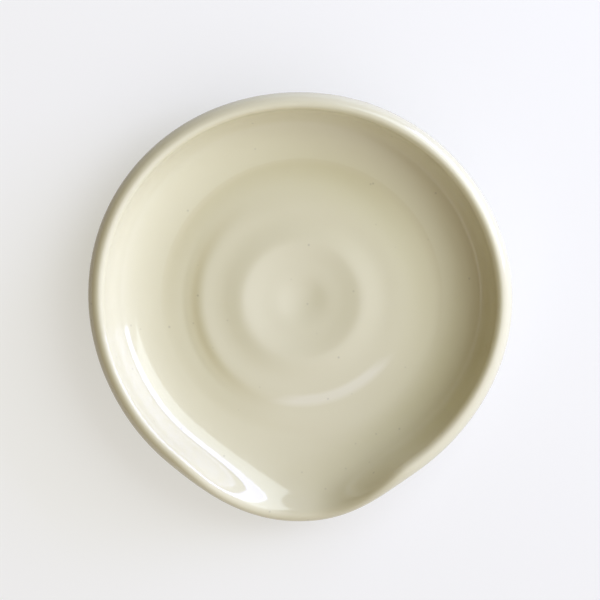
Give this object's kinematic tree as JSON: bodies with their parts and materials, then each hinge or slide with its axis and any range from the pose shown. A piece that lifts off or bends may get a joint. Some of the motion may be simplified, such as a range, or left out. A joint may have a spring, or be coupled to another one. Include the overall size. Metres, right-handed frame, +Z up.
{
  "type": "spoon rest",
  "caption": "Round thrown stoneware spoon rest: a shallow glazed dish with a curved wall, a round rim and a low pulled lip that carries the spoon's handle.",
  "frame": {"origin": "on the wheel's axis, in the plane of the foot ring's bearing face", "axes": "+Z up along the wheel's axis, -Y towards the middle of the lip, +X to the right seen from above with the lip nearest"},
  "size_m": [0.1307, 0.135, 0.023],
  "materials": {
    "bare_stoneware": "fired buff clay, turned and sponged smooth, dry matt",
    "cream_glaze": "glossy cream glaze with sparse dark pinhole specks"
  },
  "bodies": {
    "root": {"stoneware_body": "bare_stoneware", "glaze_coat": "cream_glaze", "base_glaze": "cream_glaze"}
  },
  "joints": []
}
